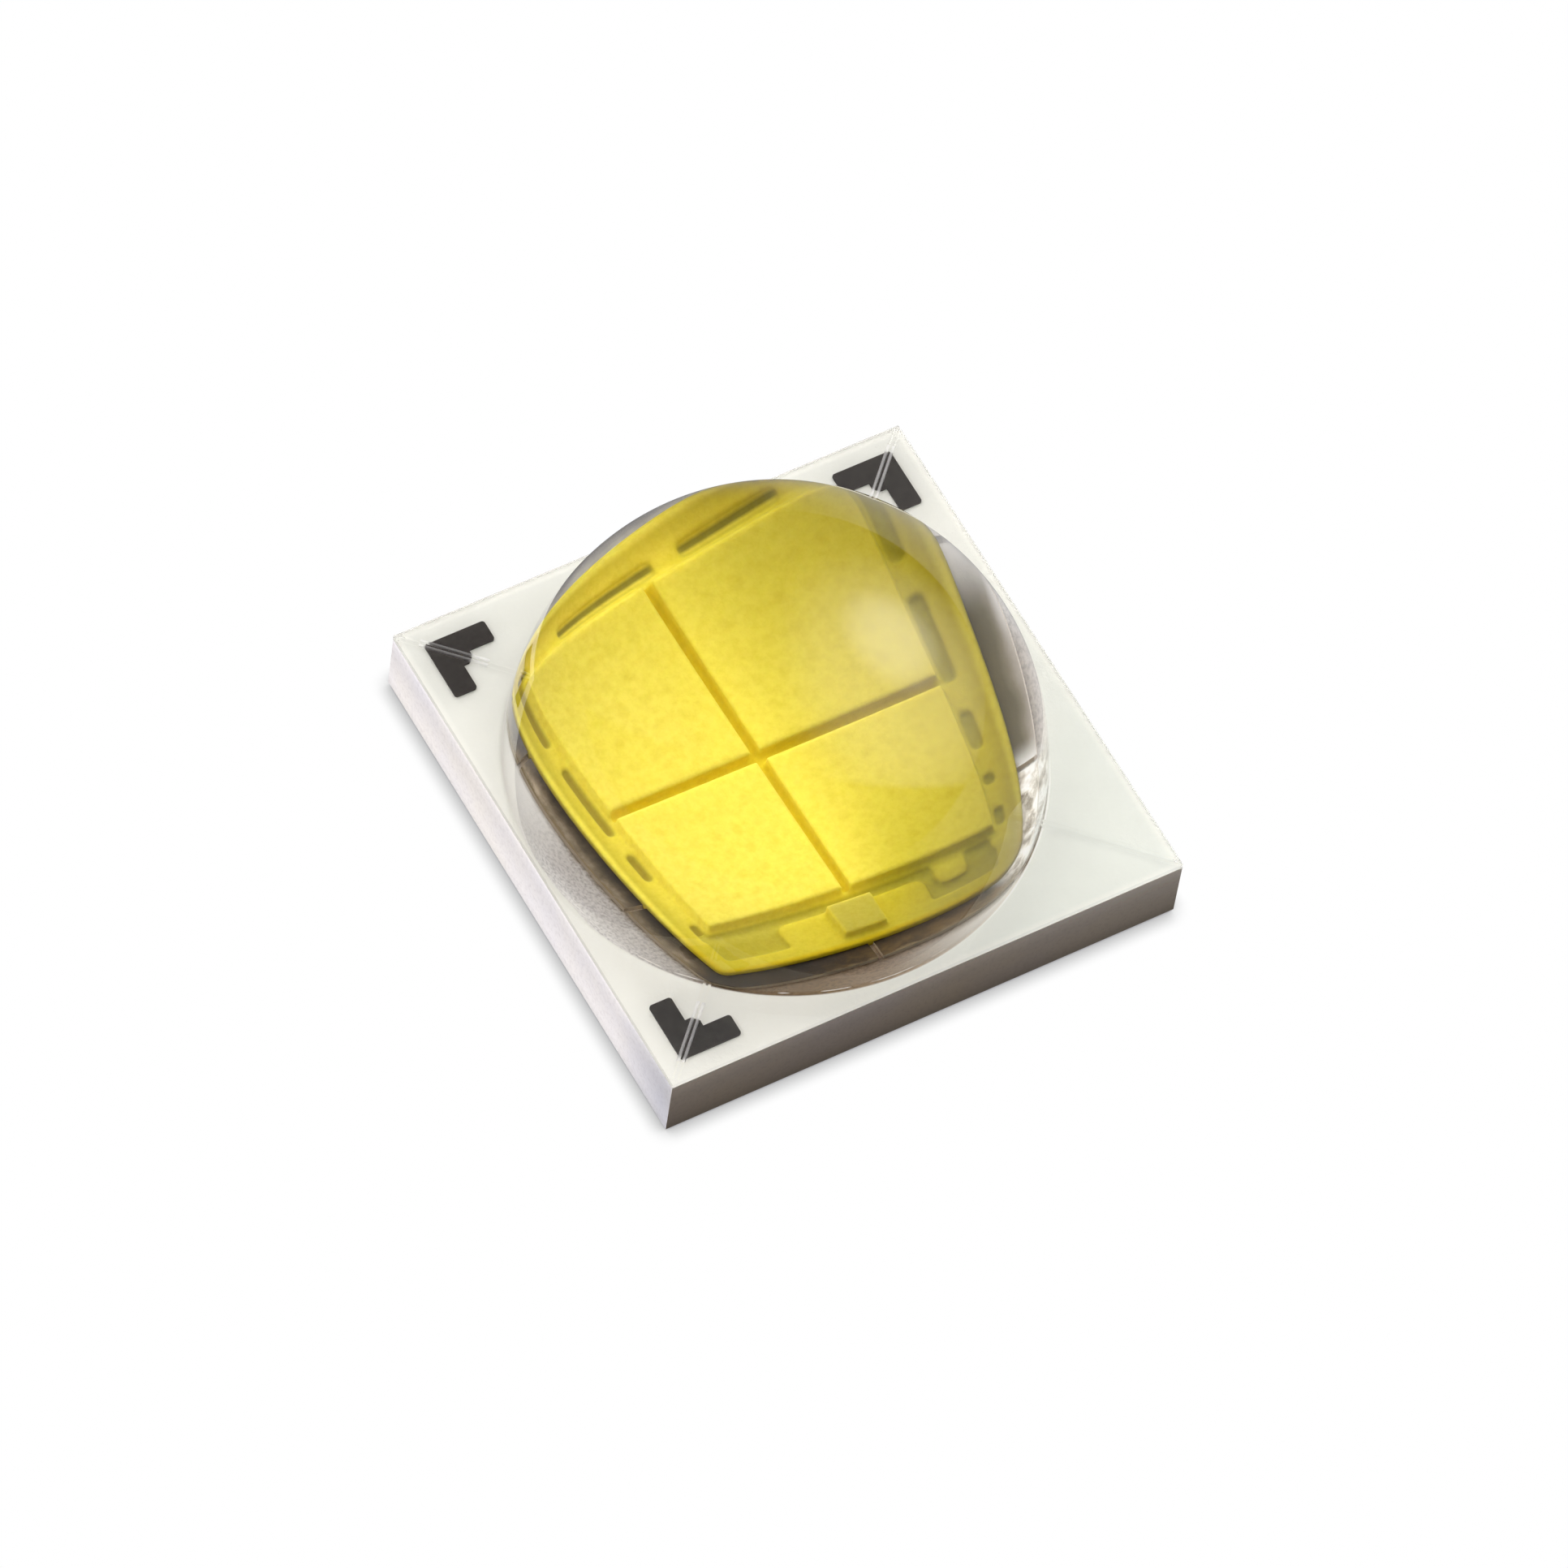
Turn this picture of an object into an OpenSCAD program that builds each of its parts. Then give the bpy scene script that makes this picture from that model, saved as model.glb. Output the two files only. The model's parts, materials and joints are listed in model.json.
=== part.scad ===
// High-power light-emitting chip: four dies on a ceramic tile, coated with
// phosphor, under one moulded silicone dome.
// Millimetres, +Z up, origin at the middle of the underside.
// X runs along the tile's front edge and Y away from it; anode left, cathode right.

/* [Ceramic tile] */
// Side of the square tile
tile_w = 7; // [6.6:0.1:9]
// Thickness of the tile
tile_t = 0.95; // [0.5:0.05:1.6]

/* [Solder pads on the underside] */
// Thickness of the plated pads
pad_t = 0.05; // [0.03:0.01:0.12]
// Bare ceramic left between the pads and the tile's edge
pad_inset = 0.3; // [0.15:0.05:0.5]
// Width of the thermal pad in the middle
thermal_w = 2.1; // [1.6:0.1:2.3]
// Gap between the thermal pad and the two electric pads
pad_gap = 0.25; // [0.2:0.05:0.35]
// Radius of the pads' corners
pad_corner = 0.08; // [0.02:0.01:0.2]

/* [Copper fills through the tile] */
// Diameter of each fill
via_d = 0.24; // [0.12:0.02:0.36]
// Distance from one fill to the next in its row
via_pitch = 0.52; // [0.36:0.01:0.62]
// Fills in each row
via_count = 3; // [1:1:3]

/* [Dies] */
// Width of one die in X
die_w = 1.38; // [1.1:0.01:1.45]
// Length of one die in Y
die_l = 1.46; // [1.2:0.01:1.52]
// Thickness of a die
die_t = 0.1; // [0.08:0.01:0.25]
// Gap between neighbouring dies
die_gap = 0.12; // [0.1:0.01:0.2]
// Place of the four dies' common middle, from the tile's middle, in X
array_x = -0.3; // [-0.35:0.01:0]
// Place of the four dies' common middle, from the tile's middle, in Y
array_y = 0.02; // [-0.05:0.01:0.3]
// Thickness of the metal bumps under the dies and the guard chip
bump_t = 0.02; // [0.02:0.01:0.08]
// Bare margin between a die's edge and its bumps
bump_inset = 0.05; // [0.03:0.01:0.12]

/* [Guard chip] */
// Width of the voltage guard chip, across the two traces
guard_w = 0.41; // [0.36:0.01:0.5]
// Length of the guard chip
guard_l = 0.43; // [0.3:0.01:0.48]
// Thickness of the guard chip
guard_t = 0.09; // [0.08:0.01:0.2]
// Distance from the dies' pads to the guard chip
guard_gap = 0.17; // [0.08:0.01:0.2]
// Place of the guard chip and of the slit below it, from the dies' middle, in X
guard_off = -0.06; // [-0.08:0.01:0.08]

/* [Top traces] */
// Thickness of the plated traces
trace_t = 0.05; // [0.03:0.01:0.07]
// Gap between one trace and the next
slit_w = 0.06; // [0.04:0.01:0.06]
// Distance from the dies' common middle to the slits under each row of dies
slit_off = 0.95; // [0.93:0.01:0.97]
// How far the traces stand out past the phosphor left, right and behind
rim_w = 0.27; // [0.15:0.01:0.32]
// How far the traces stand out past the phosphor in front
rim_front = 0.34; // [0.15:0.01:0.4]
// Bare ring between the traces and the dome's wall
rim_gap = 0.07; // [0.03:0.01:0.15]
// Margin of the die pads round the dies
die_margin = 0.03; // [0.01:0.01:0.06]
// Width of the moat round the die pads
moat_w = 0.14; // [0.12:0.01:0.18]
// Width of the tabs across the moat
tab_w = 0.22; // [0.2:0.01:0.28]
// Radius of the tabs' corners
tab_corner = 0.07; // [0.02:0.005:0.075]
// Diameter of the round tab on the moat's corner
corner_tab_d = 0.28; // [0.24:0.01:0.34]
// Width of the tongue that stands out of the right die pad into the window
tongue_w = 0.28; // [0.2:0.01:0.32]
// Length of the tongue
tongue_l = 0.29; // [0.2:0.01:0.32]
// Width of the bare windows beside the guard chip
window_w = 0.8; // [0.5:0.05:0.9]
// Length of the bare windows, from the moat
window_l = 0.37; // [0.2:0.01:0.4]
// Distance from the guard chip's middle to the windows
window_off = 0.72; // [0.6:0.01:0.8]
// Radius of the metal's corners between the moat and the windows
window_corner = 0.09; // [0.02:0.01:0.12]

/* [Phosphor film] */
// Margin of the film round the dies, left and right
film_margin = 0.37; // [0.3:0.01:0.42]
// Margin of the film in front of the dies, which holds the guard chip
film_front = 0.77; // [0.7:0.01:0.85]
// Margin of the film behind the dies
film_back = 0.38; // [0.3:0.01:0.45]
// Thickness of the film over flat places
film_t = 0.06; // [0.04:0.01:0.09]
// Thickness of the film on upright walls
film_side = 0.02; // [0.01:0.005:0.035]

/* [Silicone lens] */
// Radius of the dome at its foot
dome_r = 3.28; // [3.1:0.01:3.4]
// Height of the straight wall at the dome's foot
dome_skirt = 0.15; // [0.15:0.05:0.8]
// Height of the rounded part of the dome
dome_rise = 3.44; // [2.4:0.01:4]
// Place of the dome's axis, from the tile's middle, in X
dome_x = -0.2; // [-0.22:0.01:0.1]
// Place of the dome's axis, from the tile's middle, in Y
dome_y = -0.06; // [-0.15:0.01:0.1]
// Thickness of the clear skin that the mould leaves on the tile
skin_t = 0.08; // [0.06:0.01:0.09]
// Radius of the fillet between the dome and the skin
foot_r = 0.05; // [0.02:0.01:0.06]
// Width of each of the two ridges left along the mould's corner channels
ridge_w = 0.05; // [0.03:0.01:0.08]
// Height of the ridges above the skin
ridge_t = 0.03; // [0.02:0.01:0.06]
// Gap between the two ridges
ridge_gap = 0.06; // [0.04:0.01:0.12]

/* [Corner marks] */
// Distance from the tile's edges to the marks
mark_inset = 0.27; // [0.2:0.01:0.4]
// Length of a mark's arms
mark_l = 0.82; // [0.6:0.02:0.9]
// Width of a mark's arms
mark_w = 0.3; // [0.2:0.01:0.36]
// Size of the small step in a mark's inner corner
mark_step = 0.16; // [0.08:0.01:0.2]
// Radius of a mark's outer corners
mark_corner = 0.04; // [0.01:0.01:0.08]

/* [Hidden] */

round_fn = 48;        // sides that a preview draws on small round things
dome_step = 3;        // degrees of the dome's profile from one point to the next
far = 20;             // longer than anything on the tile
cut = 0.01;           // how far a cutter stands past the face it cuts
ridge_root = 0.5;     // how far inside the dome's foot the ridges start

tile_z = pad_t;                                  // underside of the tile
top_z = tile_z + tile_t;                         // top of the tile
pad_l = tile_w - 2 * pad_inset;                  // length of all three pads
side_pad_w = (pad_l - thermal_w) / 2 - pad_gap;  // width of an electric pad
side_pad_x = (thermal_w + side_pad_w) / 2 + pad_gap;

pitch_x = die_w + die_gap;
pitch_y = die_l + die_gap;
die_z = top_z + trace_t + bump_t;                // underside of the dies
array_half_x = die_w + die_gap / 2;              // half the width of all four dies together
array_half_y = die_l + die_gap / 2;
pads_half_x = array_half_x + die_margin;         // half the width of the die pads
pads_half_y = array_half_y + die_margin;
front_y = array_y - pads_half_y;                 // front edge of the die pads

film_w = 2 * (array_half_x + film_margin);
film_l = 2 * array_half_y + film_front + film_back;
film_y = array_y + (film_back - film_front) / 2; // the film's middle; in X it is the dies'

guard_x = array_x + guard_off;                   // the guard chip spans the front slit
guard_y = front_y - guard_gap - guard_l / 2;

trace_w = film_w + 2 * rim_w;
trace_l = film_l + rim_w + rim_front;
trace_y = film_y + (rim_w - rim_front) / 2;
window_y = front_y - (moat_w + window_l) / 2;    // the windows open into the moat

via_x = (pads_half_x + moat_w + trace_w / 2) / 2; // middle of the strip outside the moat
via_y = (array_y - slit_off - slit_w / 2 + trace_y - trace_l / 2) / 2;

// Signs of each die's place: left or right of the middle, front or back of it
FRONT_LEFT = [-1, -1];
BACK_LEFT = [-1, 1];
BACK_RIGHT = [1, 1];
FRONT_RIGHT = [1, -1];

// Tabs across the moat: each one's place from the dies' common middle and its
// length, along Y on the two sides and along X at the back
LEFT_TABS = [[0.75, 0.2], [-0.25, 0.2], [-0.82, 0.18], [-1.17, 0.36]];
RIGHT_TABS = [[0.8, 0.2], [-0.13, 0.23], [-0.74, 0.22], [-1.12, 0.24]];
BACK_TABS = [[-1.08, 0.5], [0.25, 0.16], [1.26, 0.34]];
TONGUE_X = 0.95;            // the tongue's place from the dies' common middle

MARK_TURNS = [0, 90, 180];  // turns that take a mark to the back, left and front corner

metal = "#c9b48a";
copper = "#b87333";
dark_metal = "#3a3430";
ceramic = "#ecebe6";

// Flat shapes

// A rectangle about a middle, with every side moved out by grow
module plate(w, l, grow = 0) {
    square([w + 2 * grow, l + 2 * grow], center = true);
}

// The same with round corners
module round_plate(w, l, r) {
    square([w - 2 * r, l], center = true);
    square([w, l - 2 * r], center = true);
    for (sx = [-1, 1], sy = [-1, 1])
        translate([sx * (w / 2 - r), sy * (l / 2 - r)]) circle(r, $fn = round_fn);
}

// A flat shape raised from the tile to a height above it. A cutter also goes
// sink below the tile's top, so that it leaves no skin there.
module rise(h, sink = 0) {
    translate([0, 0, top_z - sink]) linear_extrude(h + sink) children();
}

module film_outline() {
    translate([array_x, film_y]) plate(film_w, film_l);
}

// The traces keep inside the dome, which rounds off their corners
module trace_outline() {
    intersection() {
        translate([array_x, trace_y]) plate(trace_w, trace_l);
        translate([dome_x, dome_y]) circle(dome_r - rim_gap, $fn = 2 * round_fn);
    }
}

// The strip of bare ceramic round the die pads, about the dies' middle
module moat(grow) {
    difference() {
        plate(2 * (pads_half_x + moat_w), 2 * (pads_half_y + moat_w), -grow);
        plate(2 * pads_half_x, 2 * pads_half_y, grow);
    }
}

// The tabs on the moat's middle line, the round one on its front right corner
// and the tongue, which starts on the die pad
module tabs(grow) {
    at_x = pads_half_x + moat_w / 2;
    at_y = pads_half_y + moat_w / 2;
    across = tab_w + 2 * grow;
    r = tab_corner + grow;
    for (t = LEFT_TABS) translate([-at_x, t[0]]) round_plate(across, t[1] + 2 * grow, r);
    for (t = RIGHT_TABS) translate([at_x, t[0]]) round_plate(across, t[1] + 2 * grow, r);
    for (t = BACK_TABS) translate([t[0], at_y]) round_plate(t[1] + 2 * grow, across, r);
    translate([at_x, -at_y]) circle(corner_tab_d / 2 + grow, $fn = round_fn);
    translate([TONGUE_X, -pads_half_y]) round_plate(tongue_w + 2 * grow, 2 * (tongue_l + grow), r);
}

// The bare windows left and right of the guard chip, with the metal's corner
// between each window and the moat rounded off
module windows(grow) {
    moat_front = front_y - moat_w;
    r = window_corner + grow;
    for (side = [-1, 1]) translate([guard_x, 0]) mirror([1 - side, 0]) {
        translate([window_off + window_w / 2, window_y]) plate(window_w, window_l + moat_w, -grow);
        translate([window_off + grow - r, moat_front + grow - r]) difference() {
            square(r + cut);
            circle(r, $fn = round_fn);
        }
    }
}

// All the metal on top of the tile, before the slits part it. A positive grow
// gives the outline of what coats it, with narrower moats and windows.
module metal_plan(grow = 0) {
    difference() {
        trace_outline();
        translate([array_x, array_y]) moat(grow);
        windows(grow);
    }
    translate([array_x, array_y]) tabs(grow);
}

// The front slit runs below the guard chip and on to the back slit
module slits() {
    translate([guard_x, array_y + slit_off - far / 2]) plate(slit_w, far + slit_w);
    for (side = [-1, 1])
        translate([array_x, array_y + side * slit_off]) plate(far, slit_w);
}

// One trace: the metal between two heights in Y, left (-1) or right (1) of the
// front slit, or on both sides of it (0)
module trace(side, y0, y1, c) {
    color(c) rise(trace_t) intersection() {
        difference() {
            metal_plan();
            slits();
        }
        translate([guard_x + side * far / 2, array_y + (y0 + y1) / 2]) plate(far, y1 - y0);
    }
}

// Pieces on the underside and through the tile

module solder_pad(w, x) {
    color(metal) translate([x, 0, 0]) linear_extrude(pad_t) round_plate(w, pad_l, pad_corner);
}

module thermal_pad() {
    solder_pad(thermal_w, 0);
}

module anode_pad() {
    solder_pad(side_pad_w, -side_pad_x);
}

module cathode_pad() {
    solder_pad(side_pad_w, side_pad_x);
}

// A row of fills joins each front trace to the pad below it, in the middle of
// the strip between the moat, the slit and the trace's outer edges
module fills(side, extra = 0) {
    for (i = [0 : via_count - 1])
        translate([array_x + side * via_x, via_y + (i - (via_count - 1) / 2) * via_pitch,
                   tile_z - extra])
            cylinder(h = tile_t + 2 * extra, d = via_d, $fn = round_fn);
}

module anode_fills() {
    color(copper) fills(-1);
}

module cathode_fills() {
    color(copper) fills(1);
}

module ceramic_tile() {
    color(ceramic) difference() {
        translate([-tile_w / 2, -tile_w / 2, tile_z]) cube([tile_w, tile_w, tile_t]);
        fills(-1, cut);
        fills(1, cut);
    }
}

// Traces: current runs anode, left link, back link, right link, cathode

module anode_trace() {
    trace(-1, -far / 2, -slit_off, metal);
}

module link_trace_left() {
    trace(-1, -slit_off, slit_off, metal);
}

module link_trace_back() {
    trace(0, slit_off, far / 2, metal);
}

module link_trace_right() {
    trace(1, -slit_off, slit_off, metal);
}

module cathode_trace() {
    trace(1, -far / 2, -slit_off, metal);
}

// Dies and the guard chip

module at_die(place) {
    translate([array_x + place[0] * pitch_x / 2, array_y + place[1] * pitch_y / 2, 0])
        children();
}

module die(place) {
    color("#8fa6c4") at_die(place)
        translate([-die_w / 2, -die_l / 2, die_z]) cube([die_w, die_l, die_t]);
}

// Two bumps under a die, parted over the slit that runs below it
module bumps(place) {
    slit_y = place[1] * (slit_off - pitch_y / 2);
    color(metal) at_die(place) translate([0, 0, top_z + trace_t]) linear_extrude(bump_t)
        difference() {
            plate(die_w, die_l, -bump_inset);
            translate([0, slit_y]) plate(far, slit_w);
        }
}

module die_front_left() {
    die(FRONT_LEFT);
}

module die_back_left() {
    die(BACK_LEFT);
}

module die_back_right() {
    die(BACK_RIGHT);
}

module die_front_right() {
    die(FRONT_RIGHT);
}

module bumps_front_left() {
    bumps(FRONT_LEFT);
}

module bumps_back_left() {
    bumps(BACK_LEFT);
}

module bumps_back_right() {
    bumps(BACK_RIGHT);
}

module bumps_front_right() {
    bumps(FRONT_RIGHT);
}

module guard_chip() {
    color("#6f6a60") translate([guard_x - guard_w / 2, guard_y - guard_l / 2, die_z])
        cube([guard_w, guard_l, guard_t]);
}

module guard_bumps() {
    color(metal) translate([guard_x, guard_y, top_z + trace_t]) linear_extrude(bump_t)
        difference() {
            plate(guard_w, guard_l, -bump_inset);
            plate(slit_w, far);
        }
}

// Phosphor film: it lies over traces, bare ceramic, dies and guard chip alike

// All five traces as one cutter
module traces_cutter() {
    rise(trace_t, cut) difference() {
        metal_plan();
        slits();
    }
}

// The dies and the guard chip, filled down to the tile; side and top are the
// film's thickness on walls and flats, or nought for the bare things
module chip_blocks(side, top, sink) {
    under = trace_t + bump_t;
    for (sx = [-1, 1], sy = [-1, 1])
        translate([array_x + sx * pitch_x / 2, array_y + sy * pitch_y / 2])
            rise(under + die_t + top, sink) plate(die_w, die_l, side);
    translate([guard_x, guard_y])
        rise(under + guard_t + top, sink) plate(guard_w, guard_l, side);
}

// The film's outer surface, filled down to the tile
module film_relief(sink = 0) {
    rise(film_t, sink) film_outline();
    rise(trace_t + film_t, sink) intersection() {
        film_outline();
        metal_plan(film_side);
    }
    chip_blocks(film_side, film_t, sink);
}

module phosphor_film() {
    color("#f2e24e") difference() {
        film_relief();
        traces_cutter();
        chip_blocks(0, 0, cut);
    }
}

// Corner marks: dark L shapes at three of the four corners

module mark_plan() {
    reach = tile_w / 2 - mark_inset;
    step = mark_w + mark_step;
    translate([reach - mark_l / 2, reach - mark_w / 2]) round_plate(mark_l, mark_w, mark_corner);
    translate([reach - mark_w / 2, reach - mark_l / 2]) round_plate(mark_w, mark_l, mark_corner);
    translate([reach, reach]) polygon([[-mark_w, -mark_w], [-step, -mark_w],
        [-step, -mark_w - mark_step / 2], [-mark_w - mark_step / 2, -step], [-mark_w, -step]]);
}

module mark(turn) {
    color(dark_metal) rotate(turn) rise(trace_t) mark_plan();
}

module mark_back() {
    mark(MARK_TURNS[0]);
}

module mark_left() {
    mark(MARK_TURNS[1]);
}

module mark_front() {
    mark(MARK_TURNS[2]);
}

// Silicone lens: dome, skin and ridges come out of one mould

// Half of the dome's section: fillet at the foot, straight skirt, oval rise
dome_section = concat(
    [[0, 0], [dome_r + foot_r, 0]],
    [for (a = [0 : 15 : 90]) [dome_r + foot_r * (1 - sin(a)), skin_t + foot_r * (1 - cos(a))]],
    [for (a = [0 : dome_step : 90]) [dome_r * cos(a), dome_skirt + dome_rise * sin(a)]]);

// The fillet is sawn off with the skin where the dome's foot reaches the tile's edge
module dome() {
    intersection() {
        translate([dome_x, dome_y, top_z]) rotate_extrude($fn = 2 * round_fn) polygon(dome_section);
        translate([0, 0, top_z]) linear_extrude(far) plate(tile_w, tile_w);
    }
}

// Two ridges run along each of the tile's diagonals, from inside the dome's foot
module ridges() {
    root = dome_r - ridge_root;
    reach = tile_w / sqrt(2) - ridge_w - ridge_gap;
    for (a = [45 : 90 : 315], side = [-1, 1])
        rotate([0, 0, a]) translate([root, side * (ridge_gap + ridge_w) / 2 - ridge_w / 2, top_z])
            cube([reach - root, ridge_w, skin_t + ridge_t]);
}

module silicone_lens() {
    color("#f4f6f8", 0.35) difference() {
        union() {
            translate([-tile_w / 2, -tile_w / 2, top_z]) cube([tile_w, tile_w, skin_t]);
            dome();
            ridges();
        }
        film_relief(cut);
        traces_cutter();
        for (turn = MARK_TURNS) rotate(turn) rise(trace_t, cut) mark_plan();
    }
}

ceramic_tile();
thermal_pad();
anode_pad();
cathode_pad();
anode_fills();
cathode_fills();
anode_trace();
link_trace_left();
link_trace_back();
link_trace_right();
cathode_trace();
bumps_front_left();
bumps_back_left();
bumps_back_right();
bumps_front_right();
guard_bumps();
die_front_left();
die_back_left();
die_back_right();
die_front_right();
guard_chip();
phosphor_film();
mark_left();
mark_front();
mark_back();
silicone_lens();
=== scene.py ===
# High-power led chip: four dies under one phosphor film and one silicone dome.
# The dictionaries give sizes in millimetres. Pieces are modelled in millimetres too
# and brought down to metres as the last step, so that no modelling tolerance bites.
import json
import math

import bmesh
import bpy
from mathutils import Matrix, Vector

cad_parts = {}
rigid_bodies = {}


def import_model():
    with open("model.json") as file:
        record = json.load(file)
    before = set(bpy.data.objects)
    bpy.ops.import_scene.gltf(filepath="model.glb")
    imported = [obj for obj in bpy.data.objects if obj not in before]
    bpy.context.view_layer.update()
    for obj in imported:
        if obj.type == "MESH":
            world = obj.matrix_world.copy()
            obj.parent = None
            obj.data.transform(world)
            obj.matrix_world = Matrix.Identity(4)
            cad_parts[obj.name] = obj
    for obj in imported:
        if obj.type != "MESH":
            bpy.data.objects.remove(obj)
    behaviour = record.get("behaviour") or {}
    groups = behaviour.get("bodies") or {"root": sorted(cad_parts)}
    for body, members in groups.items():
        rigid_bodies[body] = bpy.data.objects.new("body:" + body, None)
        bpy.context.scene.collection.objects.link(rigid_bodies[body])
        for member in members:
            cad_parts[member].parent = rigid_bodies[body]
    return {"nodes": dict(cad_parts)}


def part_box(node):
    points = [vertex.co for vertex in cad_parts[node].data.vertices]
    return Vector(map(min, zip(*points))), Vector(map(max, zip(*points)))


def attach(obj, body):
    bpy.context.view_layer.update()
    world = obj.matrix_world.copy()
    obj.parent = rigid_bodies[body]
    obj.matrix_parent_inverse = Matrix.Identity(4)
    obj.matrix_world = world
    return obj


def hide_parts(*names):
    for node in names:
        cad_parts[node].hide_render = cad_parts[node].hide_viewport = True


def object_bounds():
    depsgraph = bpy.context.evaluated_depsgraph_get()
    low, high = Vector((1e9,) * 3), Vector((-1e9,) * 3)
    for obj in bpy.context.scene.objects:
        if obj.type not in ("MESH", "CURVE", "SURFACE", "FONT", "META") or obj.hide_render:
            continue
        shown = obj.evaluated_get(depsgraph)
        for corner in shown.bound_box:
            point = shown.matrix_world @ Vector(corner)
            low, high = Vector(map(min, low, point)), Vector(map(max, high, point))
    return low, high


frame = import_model()
cadLow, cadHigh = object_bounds()
nodes = frame["nodes"]
mm = 0.001
hair = 0.002    # millimetres within which two places count as one
weld = 0.0005   # and within which two points of a mesh are merged
noiseSpan = (0.3, 0.7)   # where nearly all of a noise's values lie
print("frame loaded:", len(nodes), "nodes")


# Selection and finishing

def onlyThis(piece):
    bpy.ops.object.select_all(action="DESELECT")
    piece.select_set(True)
    bpy.context.view_layer.objects.active = piece


def edit(piece):
    onlyThis(piece)
    bpy.ops.object.mode_set(mode="EDIT")


def done():
    bpy.ops.object.mode_set(mode="OBJECT")


def pick(piece, kind, test):
    # in edit mode, selects just the vertices, edges or faces that pass the test
    bpy.ops.mesh.select_mode(type=kind)
    bpy.ops.mesh.select_all(action="DESELECT")
    mesh = bmesh.from_edit_mesh(piece.data)
    parts = {"VERT": mesh.verts, "EDGE": mesh.edges, "FACE": mesh.faces}[kind]
    for part in parts:
        if test(part):
            part.select_set(True)
    bmesh.update_edit_mesh(piece.data)


def applyAll(piece):
    onlyThis(piece)
    for modifier in list(piece.modifiers):
        bpy.ops.object.modifier_apply(modifier=modifier.name)


def corners(word):
    # lowest and highest corner of the frame nodes whose names hold the word, in millimetres
    boxes = [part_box(name) for name in nodes if word in name]
    low = Vector([min(box[0][axis] for box in boxes) for axis in range(3)])
    high = Vector([max(box[1][axis] for box in boxes) for axis in range(3)])
    return low / mm, high / mm


def copyOf(node, name):
    # a loose copy of a frame node's mesh, in millimetres, with its triangles joined
    piece = bpy.data.objects.new(name, nodes[node].data.copy())
    bpy.context.scene.collection.objects.link(piece)
    piece.data.transform(Matrix.Scale(1 / mm, 4))
    edit(piece)
    bpy.ops.mesh.select_all(action="SELECT")
    bpy.ops.mesh.remove_doubles(threshold=weld)
    done()
    return piece


def toMetres(piece):
    onlyThis(piece)
    bpy.ops.object.transform_apply(location=True, rotation=True, scale=True)
    piece.data.transform(Matrix.Scale(mm, 4))
    piece.data.update()


def dress(piece, material):
    piece.data.materials.clear()
    piece.data.materials.append(material)


# Building blocks of the materials

def newMaterial(name):
    material = bpy.data.materials.new(name)
    material.use_nodes = True
    tree = material.node_tree
    shader = tree.nodes["Principled BSDF"]
    place = tree.nodes.new("ShaderNodeTexCoord")
    return material, tree, shader, place


def addNoise(tree, place, scale, detail=4.0, rough=0.55):
    noise = tree.nodes.new("ShaderNodeTexNoise")
    noise.inputs["Scale"].default_value = scale
    noise.inputs["Detail"].default_value = detail
    noise.inputs["Roughness"].default_value = rough
    tree.links.new(place.outputs["Object"], noise.inputs["Vector"])
    return noise.outputs["Fac"]


def addWobble(tree, place, swing, scale, detail, rough=0.55):
    # noise that swings so many millimetres either way
    noise = addNoise(tree, place, scale, detail, rough)
    return addRange(tree, noise, *noiseSpan, -swing, swing)


def addRamp(tree, source, stops):
    ramp = tree.nodes.new("ShaderNodeValToRGB")
    while len(ramp.color_ramp.elements) < len(stops):
        ramp.color_ramp.elements.new(0.5)
    for element, (at, colour) in zip(ramp.color_ramp.elements, stops):
        element.position = at
        element.color = (*colour, 1.0)
    tree.links.new(source, ramp.inputs["Fac"])
    return ramp.outputs["Color"]


def addBump(tree, height, shader, strength, distance):
    bump = tree.nodes.new("ShaderNodeBump")
    bump.inputs["Strength"].default_value = strength
    bump.inputs["Distance"].default_value = distance * mm
    tree.links.new(height, bump.inputs["Height"])
    tree.links.new(bump.outputs["Normal"], shader.inputs["Normal"])


def addRange(tree, source, low, high, newLow=0.0, newHigh=1.0, smooth=False):
    span = tree.nodes.new("ShaderNodeMapRange")
    if smooth:
        span.interpolation_type = "SMOOTHSTEP"
    span.inputs["From Min"].default_value = low
    span.inputs["From Max"].default_value = high
    span.inputs["To Min"].default_value = newLow
    span.inputs["To Max"].default_value = newHigh
    tree.links.new(source, span.inputs["Value"])
    return span.outputs["Result"]


def addMix(tree, factor, first, second, blend="MIX"):
    # factor, first and second are each a value or another node's output
    mix = tree.nodes.new("ShaderNodeMix")
    mix.data_type = "RGBA"
    mix.blend_type = blend
    sockets = [mix.inputs["Factor"], mix.inputs["A"], mix.inputs["B"]]
    for socket, value in zip(sockets, (factor, first, second)):
        if isinstance(value, bpy.types.NodeSocket):
            tree.links.new(value, socket)
        elif isinstance(value, tuple):
            socket.default_value = (*value, 1.0)
        else:
            socket.default_value = value
    return mix.outputs["Result"]


def shadeBy(tree, tint, gain, where=1.0):
    # the tint times the gain, as far as where says: a value or another node's output
    return addMix(tree, where, tint, gain, "MULTIPLY")


def calc(tree, operation, *values):
    # a Math node: each value is a number or another node's output
    node = tree.nodes.new("ShaderNodeMath")
    node.operation = operation
    for socket, value in zip(node.inputs, values):
        if isinstance(value, bpy.types.NodeSocket):
            tree.links.new(value, socket)
        else:
            socket.default_value = value
    return node.outputs["Value"]


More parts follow.
